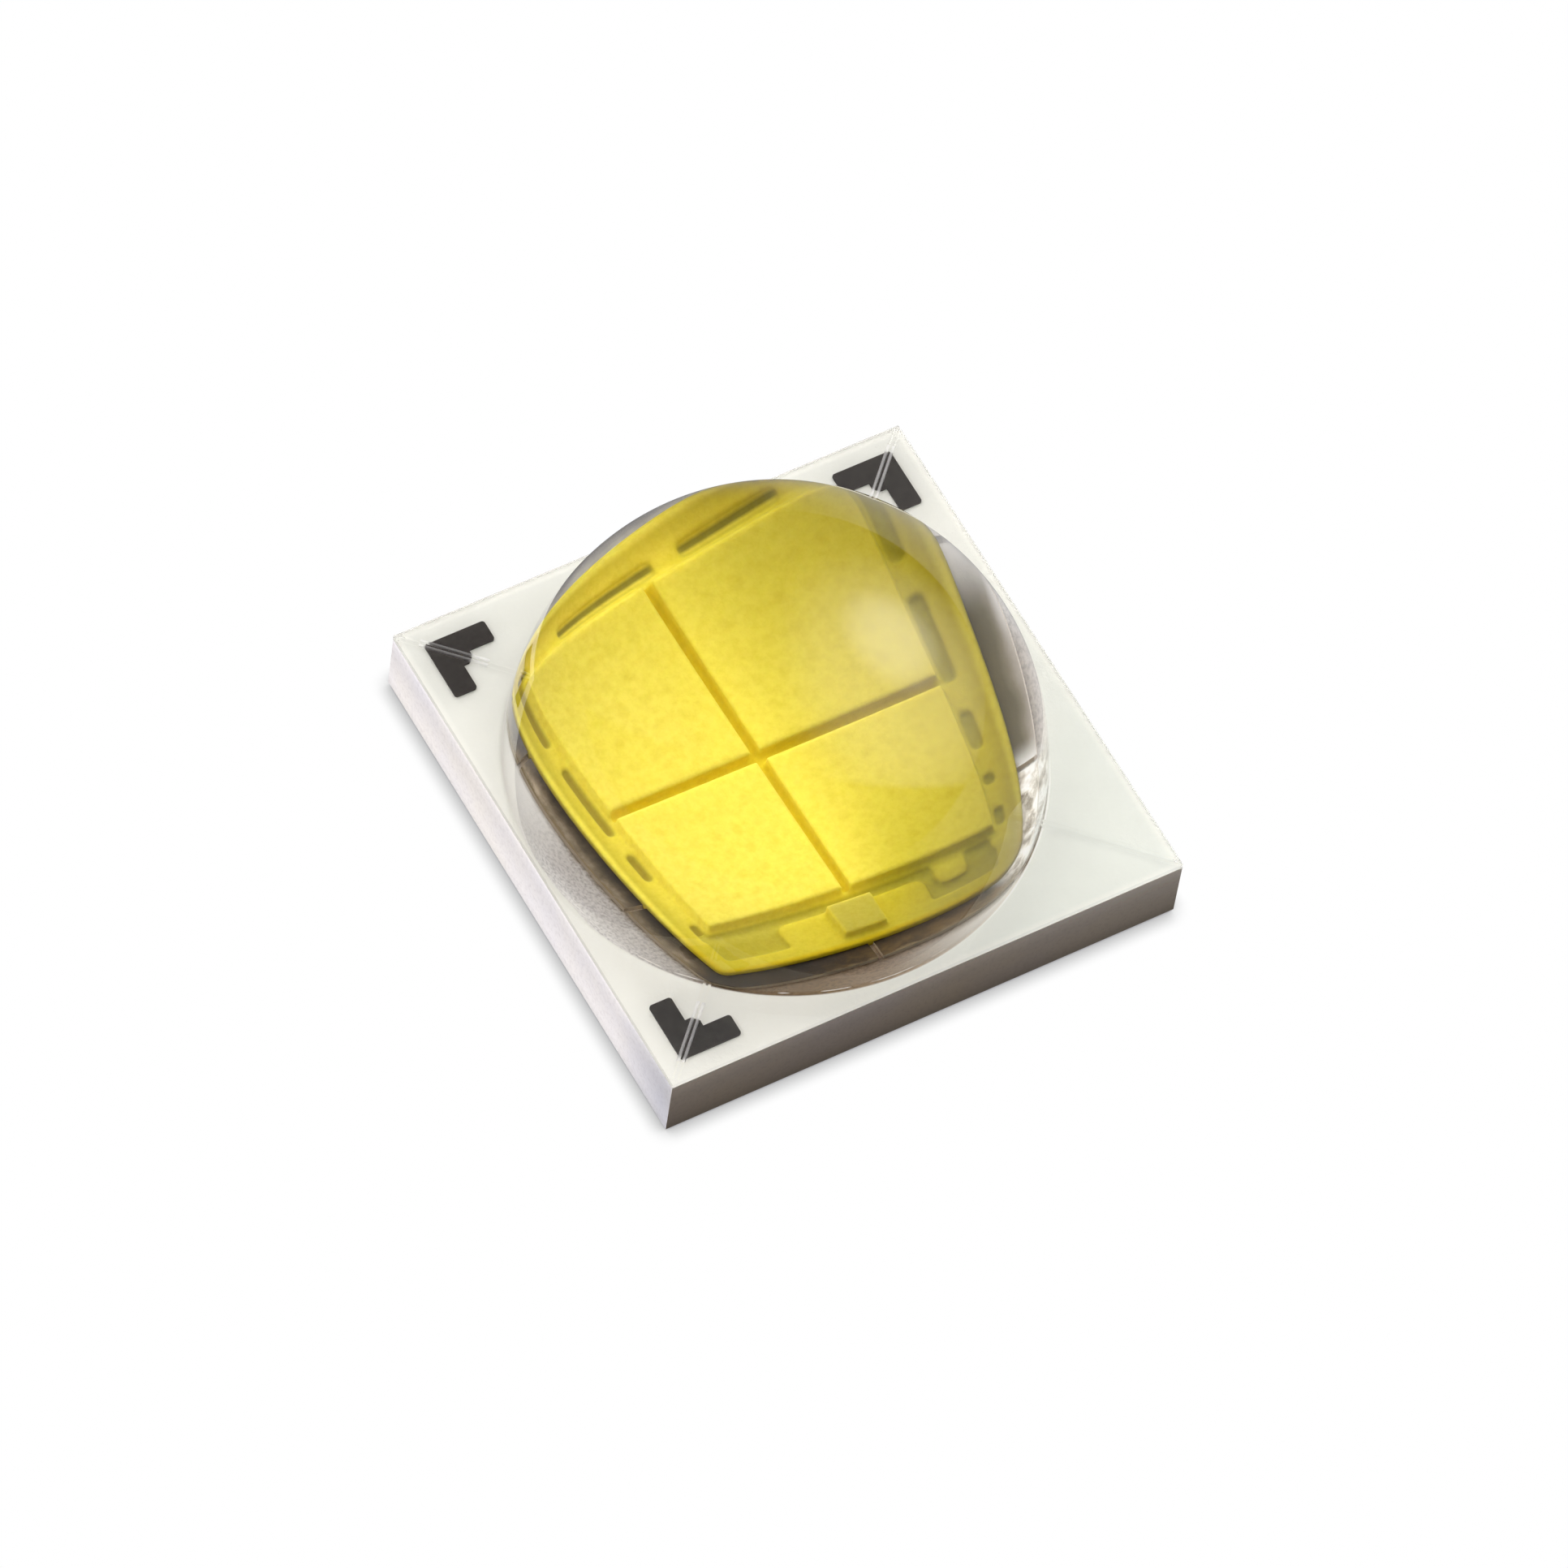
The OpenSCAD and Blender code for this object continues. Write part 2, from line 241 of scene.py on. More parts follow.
def axesInMm(tree, place):
    scale = tree.nodes.new("ShaderNodeVectorMath")
    scale.operation = "SCALE"
    scale.inputs["Scale"].default_value = 1 / mm
    tree.links.new(place.outputs["Object"], scale.inputs["Vector"])
    axes = tree.nodes.new("ShaderNodeSeparateXYZ")
    tree.links.new(scale.outputs["Vector"], axes.inputs["Vector"])
    return axes.outputs["X"], axes.outputs["Y"], axes.outputs["Z"]


def outsideBox(tree, x, y, low, high):
    # how far a point lies outside an upright box, seen from above; negative inside
    offX = calc(tree, "ABSOLUTE", calc(tree, "SUBTRACT", x, (low.x + high.x) / 2))
    offY = calc(tree, "ABSOLUTE", calc(tree, "SUBTRACT", y, (low.y + high.y) / 2))
    overX = calc(tree, "SUBTRACT", offX, (high.x - low.x) / 2)
    overY = calc(tree, "SUBTRACT", offY, (high.y - low.y) / 2)
    return calc(tree, "MAXIMUM", overX, overY)


def fromAxis(tree, x, y, middle):
    # distance from an upright axis
    offX = calc(tree, "SUBTRACT", x, middle[0])
    offY = calc(tree, "SUBTRACT", y, middle[1])
    squares = [calc(tree, "MULTIPLY", off, off) for off in (offX, offY)]
    return calc(tree, "SQRT", calc(tree, "ADD", *squares))


# Materials

metalPrint = {
    "ring": 3.21,                         # radius where the dome rounds its corners
    "middle": (-0.2, -0.06),
    "ragged": 0.05,                       # how uneven its edge looks
}


def pastMetal(tree, place, x, y):
    # distance outside the printed metal's outline, made uneven
    low, high = corners("trace")
    overRing = calc(tree, "SUBTRACT", fromAxis(tree, x, y, metalPrint["middle"]), metalPrint["ring"])
    reach = calc(tree, "MAXIMUM", outsideBox(tree, x, y, low, high), overRing)
    wobble = addWobble(tree, place, metalPrint["ragged"], scale=5000.0, detail=5.0, rough=0.65)
    return calc(tree, "ADD", reach, wobble)


rightRimShade = {
    "reach": (1.48, 2.15),                # x from the film's edge to clean ceramic
    "tones": [                            # painted shade: brown beside the film, fading outwards
        (0.0, (0.07, 0.055, 0.02)),
        (0.20, (0.095, 0.075, 0.03)),
        (0.30, (0.17, 0.14, 0.085)),
        (0.50, (0.42, 0.37, 0.32)),
        (0.78, (0.74, 0.67, 0.62)),
        (1.0, (0.88, 0.83, 0.79)),
    ],
    "pale": (0.82, 0.79, 0.78),           # it fades towards the back as well
    "back": (0.4, 1.1),
    "outer": (1.66, 1.84),                # and sooner there, further out
    "outerBack": (0.05, 0.45),
    "front": (-1.6, -0.9),                # and ends there in front
    "wave": 0.05,                         # how far its edge wanders
    "blend": 0.02,
}

crinkledGlints = {
    "middle": (1.72, -1.65),              # painted highlights: crinkled caustic glints, with dark streaks, at the corner
    "reach": (1.0, 0.6),
    "tones": [(0.36, (0.22, 0.17, 0.11)), (0.46, (0.72, 0.67, 0.59)), (0.54, (1.0, 0.99, 0.96))],
}


def rightShadeAndGlints(tree, place, x, y, tint):
    # painted shade that the metal and the ceramic share on the right of the film, and painted caustic
    # glints at its front right corner
    wave = addWobble(tree, place, rightRimShade["wave"], scale=1800.0, detail=4.0)
    out = addRange(tree, calc(tree, "ADD", x, wave), *rightRimShade["reach"])
    right = addRamp(tree, out, rightRimShade["tones"])
    farOut = calc(tree, "MULTIPLY",
                  addRange(tree, x, *rightRimShade["outer"], smooth=True),
                  addRange(tree, y, *rightRimShade["outerBack"], smooth=True))
    fading = calc(tree, "MAXIMUM", farOut, addRange(tree, y, *rightRimShade["back"], smooth=True))
    right = addMix(tree, fading, right, rightRimShade["pale"])
    filmEdge = rightRimShade["reach"][0]
    beyondFilm = addRange(tree, x, filmEdge - rightRimShade["blend"], filmEdge)
    onRight = calc(tree, "MULTIPLY", beyondFilm, addRange(tree, y, *rightRimShade["front"], smooth=True))
    tint = addMix(tree, onRight, tint, right)
    # painted highlights: crinkled glints of a caustic near the front right corner
    causticGlints = addRamp(tree, addNoise(tree, place, scale=3200.0, detail=3.0, rough=0.6), crinkledGlints["tones"])
    near = addRange(tree, fromAxis(tree, x, y, crinkledGlints["middle"]), *crinkledGlints["reach"], smooth=True)
    return addMix(tree, near, tint, causticGlints)


ceramic = {
    "reach": (-0.1, 1.4),                 # from inside the metal's outline to clean ceramic
    # painted shade: a dark halo round the metal stands in for the dome's shadow, fading out to clean
    # ceramic
    "shadeHalo": [
        (0.035, (0.40, 0.31, 0.21)),      # painted lighter in the narrow slits between the traces, against their shade
        (0.060, (0.20, 0.15, 0.085)),
        (0.085, (0.36, 0.31, 0.26)),
        (0.13, (0.47, 0.43, 0.395)),
        (0.40, (0.67, 0.63, 0.61)),
        (0.58, (0.97, 0.94, 0.92)),
    ],
    "frontHaloShade": (0.47, 0.34, 0.22),     # painted shade, heavier in front of the metal
    "front": (-2.0, -2.7),
    "frontLeft": (-0.6, -1.2),            # heaviest at its left, and gone at its right
    "leftTint": (0.82, 0.76, 0.60),
    "frontRight": (-0.6, 1.6),
    "inFront": (-2.6, -2.8),
    "frontPale": (0.97, 0.92, 0.86),
    "leftBack": (-0.3, 1.0),              # left of the film it fades towards the back
    "leftOut": (-2.28, -2.45),
    "leftPale": (1.0, 0.97, 0.93),
    "leftEdge": (-3.27, -3.33),           # it stops short of the dome's foot on the left, leaving a painted highlight there
    "domeFoot": (3.25, 3.29),             # the painted shade ends sharply at the foot of the dome
    "causticLine": (3.17, 0.06, 0.035),          # painted highlight standing in for a caustic, a pale broken line near it: radius, wander, half width
    "causticTint": (0.97, 0.93, 0.88),
    "causticGaps": (0.45, 0.55),
    "speckle": [(0.38, (0.66, 0.65, 0.65)), (0.56, (1.0, 1.0, 1.0))],
    "clean": (1.0, 0.99, 0.93),
    "clouds": [(0.3, (0.97, 0.97, 0.97)), (0.7, (1.0, 1.0, 1.0))],
    "back": (0.0, 3.4),                   # painted shade: the top is a little darker towards the back
    "backShade": (0.82, 0.83, 0.83),
    "rightEnd": (1.5, 4.5),               # and towards its right corner
    "rightShade": (0.90, 0.93, 0.93),
    "edge": (-0.10, -0.04),               # but painted lighter along its edges, to make up for the light that the skin holds off there
    "edgeShare": 0.5,
    "sides": [                            # painted light and shade from the foot to the top edge, ending in a painted highlight along the top edge
        (0.0, (0.78, 0.76, 0.75)),
        (0.18, (0.86, 0.84, 0.83)),
        (0.70, (0.74, 0.72, 0.72)),
        (0.90, (0.80, 0.78, 0.78)),
        (1.0, (0.97, 0.95, 0.94)),
    ],
    "sideClouds": [(0.35, (0.93, 0.93, 1.0)), (0.65, (1.0, 0.98, 0.95))],
    "frontSideShade": [(0.05, (0.50, 0.43, 0.35)), (0.5, (0.90, 0.81, 0.70)), (0.95, (1.28, 1.20, 1.10))],
    "pits": [(0.30, (0.86, 0.85, 0.86)), (0.52, (1.0, 1.0, 1.0))],
    "leftSide": (-2.2, -3.3),             # the side on the left is greyer at its front end
    "leftShade": (0.68, 0.70, 0.74),
    "rightPart": (0.5, 3.4),              # painted light: the front side is lighter at its right end
    "rightGain": (1.28, 1.34, 1.37),
}


def haloShadedTop(tree, place, x, y):
    # painted shade: the ceramic is dark below the metal's print and in a halo just outside it
    past = pastMetal(tree, place, x, y)
    shadeHalo = addRamp(tree, addRange(tree, past, *ceramic["reach"]), ceramic["shadeHalo"])
    # the painted shade is heavier in front, most at its left, and paler at its front right and at the
    # left towards the back
    towardsFront = addRange(tree, y, *ceramic["front"], smooth=True)
    shadeHalo = shadeBy(tree, shadeHalo, ceramic["frontHaloShade"], towardsFront)
    # painted shade on the right of the film and painted glints at its front right corner
    shadeHalo = rightShadeAndGlints(tree, place, x, y, shadeHalo)
    fine = addNoise(tree, place, scale=20000.0, detail=3.0, rough=0.7)
    shadeHalo = shadeBy(tree, shadeHalo, addRamp(tree, fine, ceramic["speckle"]))
    inFront = addRange(tree, y, *ceramic["inFront"])
    left = calc(tree, "MULTIPLY", inFront, addRange(tree, x, *ceramic["frontLeft"], smooth=True))
    shadeHalo = shadeBy(tree, shadeHalo, ceramic["leftTint"], left)
    right = calc(tree, "MULTIPLY", inFront, addRange(tree, x, *ceramic["frontRight"], smooth=True))
    shadeHalo = addMix(tree, right, shadeHalo, ceramic["frontPale"])
    leftBack = calc(tree, "MULTIPLY",
                    addRange(tree, y, *ceramic["leftBack"], smooth=True),
                    addRange(tree, x, *ceramic["leftOut"]))
    shadeHalo = addMix(tree, leftBack, shadeHalo, ceramic["leftPale"])
    # painted highlight: a pale, broken, wandering line just inside the dome's foot stands in for a
    # caustic of its fillet
    fromMiddle = fromAxis(tree, x, y, metalPrint["middle"])
    radius, wander, half = ceramic["causticLine"]
    causticWander = addWobble(tree, place, wander, scale=900.0, detail=3.0)
    pastCaustic = calc(tree, "SUBTRACT", calc(tree, "ADD", fromMiddle, causticWander), radius)
    offCaustic = calc(tree, "ABSOLUTE", pastCaustic)
    gaps = addNoise(tree, place, scale=2200.0, detail=2.0)
    broken = addRange(tree, gaps, *ceramic["causticGaps"])
    onCaustic = calc(tree, "MULTIPLY", addRange(tree, offCaustic, 0.0, half, 1.0, 0.0, smooth=True), broken)
    shadeHalo = addMix(tree, onCaustic, shadeHalo, ceramic["causticTint"])
    # the painted shade stops at the dome's foot, and short of it on the left, where a painted highlight
    # stays
    beyond = calc(tree, "MAXIMUM",
                  addRange(tree, fromMiddle, *ceramic["domeFoot"], smooth=True),
                  addRange(tree, x, *ceramic["leftEdge"], smooth=True))
    return addMix(tree, beyond, shadeHalo, ceramic["clean"])


def topTones(tree, place, x, y, tileLow, tileHigh):
    mottle = addNoise(tree, place, scale=1500.0, detail=4.0)
    tint = shadeBy(tree, haloShadedTop(tree, place, x, y), addRamp(tree, mottle, ceramic["clouds"]))
    # painted shade towards the back and the right corner, and painted lighter along the edges
    tint = shadeBy(tree, tint, ceramic["backShade"], addRange(tree, y, *ceramic["back"]))
    atRight = addRange(tree, calc(tree, "SUBTRACT", x, y), *ceramic["rightEnd"])
    tint = shadeBy(tree, tint, ceramic["rightShade"], atRight)
    out = outsideBox(tree, x, y, tileLow, tileHigh)
    nearEdge = addRange(tree, out, *ceramic["edge"], 0.0, ceramic["edgeShare"])
    return addMix(tree, nearEdge, tint, ceramic["clean"])


def sideTones(tree, place, x, y, z, tileLow, tileHigh):
    # the sawn sides are a little greyer, with painted light and shade up their height and a painted
    # highlight along the top edge
    height = addRange(tree, z, tileLow.z, tileHigh.z)
    tint = addRamp(tree, height, ceramic["sides"])
    sideClouds = addRamp(tree, addNoise(tree, place, scale=500.0), ceramic["sideClouds"])
    tint = shadeBy(tree, tint, sideClouds)
    endTint = shadeBy(tree, tint, ceramic["leftShade"], addRange(tree, y, *ceramic["leftSide"]))
    # painted shade: the side at the front is much darker and browner, most of all at its foot, and
    # lighter towards its top
    frontTint = shadeBy(tree, tint, addRamp(tree, height, ceramic["frontSideShade"]))
    # painted lighter towards the front side's right end
    frontTint = shadeBy(tree, frontTint, ceramic["rightGain"], addRange(tree, x, *ceramic["rightPart"]))
    onFront = calc(tree, "LESS_THAN", y, tileLow.y + hair)
    return addMix(tree, onFront, endTint, frontTint)


def ceramicMaterial():
    material, tree, shader, place = newMaterial("firedCeramic")
    x, y, z = axesInMm(tree, place)
    tileLow, tileHigh = corners("ceramic_tile")
    # sawing leaves the sides full of fine pits
    pits = addNoise(tree, place, scale=16000.0, detail=5.0, rough=0.7)
    sides = sideTones(tree, place, x, y, z, tileLow, tileHigh)
    sides = shadeBy(tree, sides, addRamp(tree, pits, ceramic["pits"]))
    onTop = calc(tree, "GREATER_THAN", z, tileHigh.z - hair)
    tint = addMix(tree, onTop, sides, topTones(tree, place, x, y, tileLow, tileHigh))
    tree.links.new(tint, shader.inputs["Base Color"])
    addBump(tree, pits, shader, strength=0.3, distance=0.02)
    shader.inputs["Roughness"].default_value = 0.6
    return material


plating = {
    "roughness": (0.3, 0.45),
}


def metalMaterial(name, dark, light):
    material, tree, shader, place = newMaterial(name)
    grain = addNoise(tree, place, scale=6000.0, detail=6.0)
    tree.links.new(addRamp(tree, grain, [(0.35, dark), (0.65, light)]), shader.inputs["Base Color"])
    roughness = addRange(tree, grain, *noiseSpan, *plating["roughness"])
    tree.links.new(roughness, shader.inputs["Roughness"])
    addBump(tree, grain, shader, strength=0.4, distance=0.015)
    shader.inputs["Metallic"].default_value = 1.0
    return material


trace = {
    "axis": (0.6, 0.8),                   # painted reflection of the soft box: from the dull corner to the one painted bright as if it caught the light
    "turn": (-0.9, 0.5),                  # millimetres along it where dull turns to bright
    "dull": [(0.36, (0.045, 0.030, 0.014)), (0.52, (0.105, 0.074, 0.038)), (0.68, (0.19, 0.14, 0.085))],
    "bright": [(0.30, (0.42, 0.41, 0.43)), (0.70, (0.64, 0.62, 0.62))],
    "golden": (0.78, 0.60, 0.22),         # tint of the front stretch, near the film
    "front": (-1.9, -2.3),
    "besideFilm": (0.04, 0.18),           # painted shade: dark to there from the film's edge, and gone there
    "shade": (0.30, 0.26, 0.20),
    "leftOuter": (-2.22, -2.30),          # painted lighter further out on the left
    "outerGain": (1.5, 1.6, 1.8),
    "leftBack": (0.1, 0.9),               # and towards the back there
    "backGain": (1.9, 1.95, 2.0),
    "inFront": (-1.85, -2.3),
    "frontLeft": (-0.6, -1.3),            # painted shade, almost black, at the film's front left corner
    "cornerShade": (0.13, 0.10, 0.06),
    "frontRight": (0.7, 1.3),             # and painted paler at its front right
    "rightGain": (1.8, 1.9, 2.2),
    "melt": (-0.05, 0.0),                 # its edge melts into the painted shade halo on the ceramic
    "meltTint": (0.18, 0.125, 0.055),
    "slit": (-0.08, -0.05),               # the walls of the slits inside its outline
    "wall": (0.50, 0.41, 0.29),
    "outerWall": (0.34, 0.28, 0.20),
    "rightWall": (0.95, 0.88, 0.80),
}


def traceMaterial():
    material, tree, shader, place = newMaterial("darkTrace")
    x, y, z = axesInMm(tree, place)
    wrinkle = addNoise(tree, place, scale=2600.0, detail=6.0, rough=0.65)
    alongX, alongY = trace["axis"]
    along = calc(tree, "ADD", calc(tree, "MULTIPLY", x, alongX), calc(tree, "MULTIPLY", y, alongY))
    dull = addRamp(tree, wrinkle, trace["dull"])
    dull = shadeBy(tree, dull, trace["golden"], addRange(tree, y, *trace["front"]))
    low, high = corners("phosphor_film")
    atFilm = outsideBox(tree, x, y, low, high)
    # painted shade beside the film, painted lighter further out on the left and towards the back, and
    # paler at the front right
    beside = addRange(tree, atFilm, *trace["besideFilm"], 1.0, 0.0)
    dull = shadeBy(tree, dull, trace["shade"], beside)
    dull = shadeBy(tree, dull, trace["outerGain"], addRange(tree, x, *trace["leftOuter"]))
    onLeft = calc(tree, "LESS_THAN", x, low.x)
    leftBack = calc(tree, "MULTIPLY", onLeft, addRange(tree, y, *trace["leftBack"], smooth=True))
    dull = shadeBy(tree, dull, trace["backGain"], leftBack)
    inFront = addRange(tree, y, *trace["inFront"], smooth=True)
    blackest = calc(tree, "MULTIPLY", inFront, addRange(tree, x, *trace["frontLeft"], smooth=True))
    palest = calc(tree, "MULTIPLY", inFront, addRange(tree, x, *trace["frontRight"], smooth=True))
    dull = shadeBy(tree, dull, trace["rightGain"], palest)
    # painted reflection: the metal turns bright towards the corner that catches the soft box's light
    turn = addRange(tree, along, *trace["turn"], smooth=True)
    tint = addMix(tree, turn, dull, addRamp(tree, wrinkle, trace["bright"]))
    past = pastMetal(tree, place, x, y)
    tint = addMix(tree, addRange(tree, past, *trace["melt"]), tint, trace["meltTint"])
    # painted shade, almost black, at the film's front left corner
    tint = shadeBy(tree, tint, trace["cornerShade"], blackest)
    # painted shade on the right of the film and painted glints at its front right corner
    tint = rightShadeAndGlints(tree, place, x, y, tint)
    # painted light: its low walls are painted paler, to cancel the shade that would draw a dark line
    # round it
    geometry = tree.nodes.new("ShaderNodeNewGeometry")
    normal = tree.nodes.new("ShaderNodeSeparateXYZ")
    tree.links.new(geometry.outputs["True Normal"], normal.inputs["Vector"])
    upright = calc(tree, "LESS_THAN", calc(tree, "ABSOLUTE", normal.outputs["Z"]), 0.5)
    onRight = calc(tree, "GREATER_THAN", x, rightRimShade["reach"][0])
    outerWall = addMix(tree, onRight, trace["outerWall"], trace["rightWall"])
    wall = addMix(tree, addRange(tree, past, *trace["slit"]), trace["wall"], outerWall)
    tint = addMix(tree, upright, tint, wall)
    tree.links.new(tint, shader.inputs["Base Color"])
    addBump(tree, wrinkle, shader, strength=0.5, distance=0.03)
    shader.inputs["Roughness"].default_value = 0.5
    shader.inputs["Specular IOR Level"].default_value = 0.15
    return material


mark = {
    "tones": [(0.3, (0.036, 0.030, 0.027)), (0.7, (0.048, 0.041, 0.037))],
}


def markMaterial():
    material, tree, shader, place = newMaterial("darkPlating")
    grain = addNoise(tree, place, scale=12000.0, detail=4.0)
    tree.links.new(addRamp(tree, grain, mark["tones"]), shader.inputs["Base Color"])
    addBump(tree, grain, shader, strength=0.2, distance=0.01)
    shader.inputs["Roughness"].default_value = 0.6
    shader.inputs["Specular IOR Level"].default_value = 0.1
    return material


def crystalMaterial(name, dark, light):
    material, tree, shader, place = newMaterial(name)
    grain = addNoise(tree, place, scale=3000.0, detail=3.0)
    tree.links.new(addRamp(tree, grain, [(0.3, dark), (0.7, light)]), shader.inputs["Base Color"])
    addBump(tree, grain, shader, strength=0.1, distance=0.005)
    shader.inputs["Roughness"].default_value = 0.25
    return material


coating = {
    "levels": [                           # painted shade: colour from the tile up to the dies' tops, darker and more olive where the coat lies low
        (0.20, (0.60, 0.52, 0.065)),
        (0.38, (0.64, 0.54, 0.05)),
        (0.50, (0.88, 0.74, 0.07)),
        (0.90, (0.93, 0.79, 0.10)),
        (0.97, (0.89, 0.75, 0.095)),
    ],
    "backGain": (1.18, 1.14, 1.5),        # the margin behind the dies is paler
    "behind": (0.02, 0.16),
    "grooves": [                          # painted shade the same way between the dies, deep golden low in the grooves
        (0.20, (0.70, 0.53, 0.015)),
        (0.50, (0.84, 0.66, 0.03)),
        (0.78, (0.90, 0.75, 0.07)),
        (0.97, (0.89, 0.75, 0.095)),
    ],
    "dotStep": (0.215, 0.23),             # the dies' own contact dots show through faintly
    "dotSize": (0.03, 0.07),              # dark to there, and gone there
    "dotShade": (0.955, 0.945, 0.88),
    "dotRows": 5,
    "guardShade": (0.74, 0.76, 1.1),      # the coat is thin over the guard chip
    "guardSoft": (-0.02, 0.04),
    "edge": (-0.10, -0.03),               # the coat along the film's outline
    "edgeShade": (1.0, 0.90, 0.25),       # painted shade, deep yellow, in front
    "edgePale": (1.35, 1.4, 2.2),         # and painted light, pale, at the back
    "edgeTurn": (-1.9, -1.2),
    "acrossX": (-1.7, 1.4),               # painted shade: darker from left to right, as the dome sends more light to the left
    "leftToRightShade": [
        (0.0, (1.0, 1.0, 1.0)),
        (0.48, (0.94, 0.94, 0.86)),
        (0.66, (0.73, 0.73, 0.61)),
        (1.0, (0.53, 0.52, 0.44)),
    ],
    "margin": (0.10, 0.28),               # and darker beyond the dies
    "marginShade": (0.82, 0.80, 0.62),
    "rightPart": (-0.4, 0.4),             # painted shade right of the middle, towards the front
    "frontPart": (-0.3, -1.5),
    "frontShade": (0.86, 0.87, 0.68),
    "low": (0.30, 0.42),                  # height up to which the openings in the relief count
    "leftSlots": (0.68, 0.62, 0.52),      # painted shade in those left of the dies
    "backSlots": (1.32, 1.30, 1.35),      # painted lighter behind them, but for a painted shadow line along them
    "line": (0.07, 0.09, 0.115, 0.14),    # that line's place behind the dies
    "lineShade": (0.50, 0.50, 0.62),
    "powder": [(0.3, (0.90, 0.88, 0.70)), (0.6, (1.0, 1.0, 1.0))],
    "soak": 0.09,                         # how far light spreads inside
    "soakTint": (1.0, 0.8, 0.25),         # and how much of that each colour does
}


def dotMask(tree, x, y):
    # 1 on the dots of the regular grid that each die carries in its middle
    low, high = corners("die_")
    oneLow, oneHigh = corners("die_back_right")
    middle = (low + high) / 2
    dieMiddle = (oneLow + oneHigh) / 2 - middle
    gaps = []
    inside = []
    for axis, way, step in zip((x, y), range(2), coating["dotStep"]):
        fromMiddle = calc(tree, "ABSOLUTE", calc(tree, "SUBTRACT", axis, middle[way]))
        fromDie = calc(tree, "DIVIDE", calc(tree, "SUBTRACT", fromMiddle, dieMiddle[way]), step)
        off = calc(tree, "SUBTRACT", fromDie, calc(tree, "ROUND", fromDie))
        gaps.append(calc(tree, "MULTIPLY", off, step))
        inside.append(calc(tree, "LESS_THAN", calc(tree, "ABSOLUTE", fromDie), coating["dotRows"] / 2))
    squares = [calc(tree, "MULTIPLY", gap, gap) for gap in gaps]
    far = calc(tree, "SQRT", calc(tree, "ADD", *squares))
    near = addRange(tree, far, *coating["dotSize"], 1.0, 0.0, smooth=True)
    return calc(tree, "MULTIPLY", near, calc(tree, "MULTIPLY", *inside))


def phosphorMaterial():
    material, tree, shader, place = newMaterial("phosphorSilicone")
    x, y, z = axesInMm(tree, place)
    low, high = corners("phosphor_film")
    guardLow, guardHigh = corners("guard_chip")
    level = addRange(tree, z, low.z, high.z)
    dieLow, dieHigh = corners("die_")
    pastDies = outsideBox(tree, x, y, dieLow, dieHigh)
    between = calc(tree, "LESS_THAN", pastDies, 0.0)
    # painted shade: the lower the coat lies, the darker it is painted
    levels = addRamp(tree, level, coating["levels"])
    tint = addMix(tree, between, levels, addRamp(tree, level, coating["grooves"]))
    tint = shadeBy(tree, tint, coating["dotShade"], dotMask(tree, x, y))
    overGuard = addRange(
        tree, outsideBox(tree, x, y, guardLow, guardHigh), *coating["guardSoft"], 1.0, 0.0, smooth=True)
    tint = shadeBy(tree, tint, coating["guardShade"], overGuard)
    # painted shade along the film's outline in front, painted light along it at the back
    atEdge = addRange(tree, outsideBox(tree, x, y, low, high), *coating["edge"], smooth=True)
    atBack = addRange(tree, y, *coating["edgeTurn"])
    edgeTint = addMix(tree, atBack, coating["edgeShade"], coating["edgePale"])
    tint = shadeBy(tree, tint, edgeTint, atEdge)
    # painted shade: darker from left to right, beyond the dies, and towards the front right
    across = addRamp(tree, addRange(tree, x, *coating["acrossX"]), coating["leftToRightShade"])
    tint = shadeBy(tree, tint, across)
    margin = addRange(tree, pastDies, *coating["margin"], smooth=True)
    tint = shadeBy(tree, tint, coating["marginShade"], margin)
    onRight = addRange(tree, x, *coating["rightPart"], smooth=True)
    inFront = calc(tree, "MULTIPLY", onRight, addRange(tree, y, *coating["frontPart"], smooth=True))
    tint = shadeBy(tree, tint, coating["frontShade"], inFront)
    pastBack = calc(tree, "SUBTRACT", y, dieHigh.y)
    behind = addRange(tree, pastBack, *coating["behind"])
    tint = shadeBy(tree, tint, coating["backGain"], behind)
    # painted shade in the openings of the relief at the left of the dies, and painted light behind the
    # dies with a painted shadow line along them
    isLow = addRange(tree, level, *coating["low"], 1.0, 0.0)
    beside = calc(tree, "MULTIPLY",
                  calc(tree, "LESS_THAN", x, dieLow.x),
                  calc(tree, "GREATER_THAN", y, dieLow.y))
    leftLow = calc(tree, "MULTIPLY", isLow, beside)
    tint = shadeBy(tree, tint, coating["leftSlots"], leftLow)
    start, full, fade, end = coating["line"]
    onLine = calc(tree, "MULTIPLY",
                  addRange(tree, pastBack, start, full),
                  addRange(tree, pastBack, fade, end, 1.0, 0.0))
    backTint = addMix(tree, onLine, coating["backSlots"], coating["lineShade"])
    backLow = calc(tree, "MULTIPLY", isLow, calc(tree, "GREATER_THAN", pastBack, 0.0))
    tint = shadeBy(tree, tint, backTint, backLow)
    grain = addNoise(tree, place, scale=14000.0, detail=5.0, rough=0.7)
    shade = addRamp(tree, grain, coating["powder"])
    tree.links.new(shadeBy(tree, tint, shade), shader.inputs["Base Color"])
    addBump(tree, grain, shader, strength=0.3, distance=0.012)
    shader.inputs["Roughness"].default_value = 0.75
    shader.inputs["Specular IOR Level"].default_value = 0.1
    shader.inputs["Subsurface Weight"].default_value = 0.6
    shader.inputs["Subsurface Scale"].default_value = coating["soak"] * mm
    shader.inputs["Subsurface Radius"].default_value = coating["soakTint"]
    return material


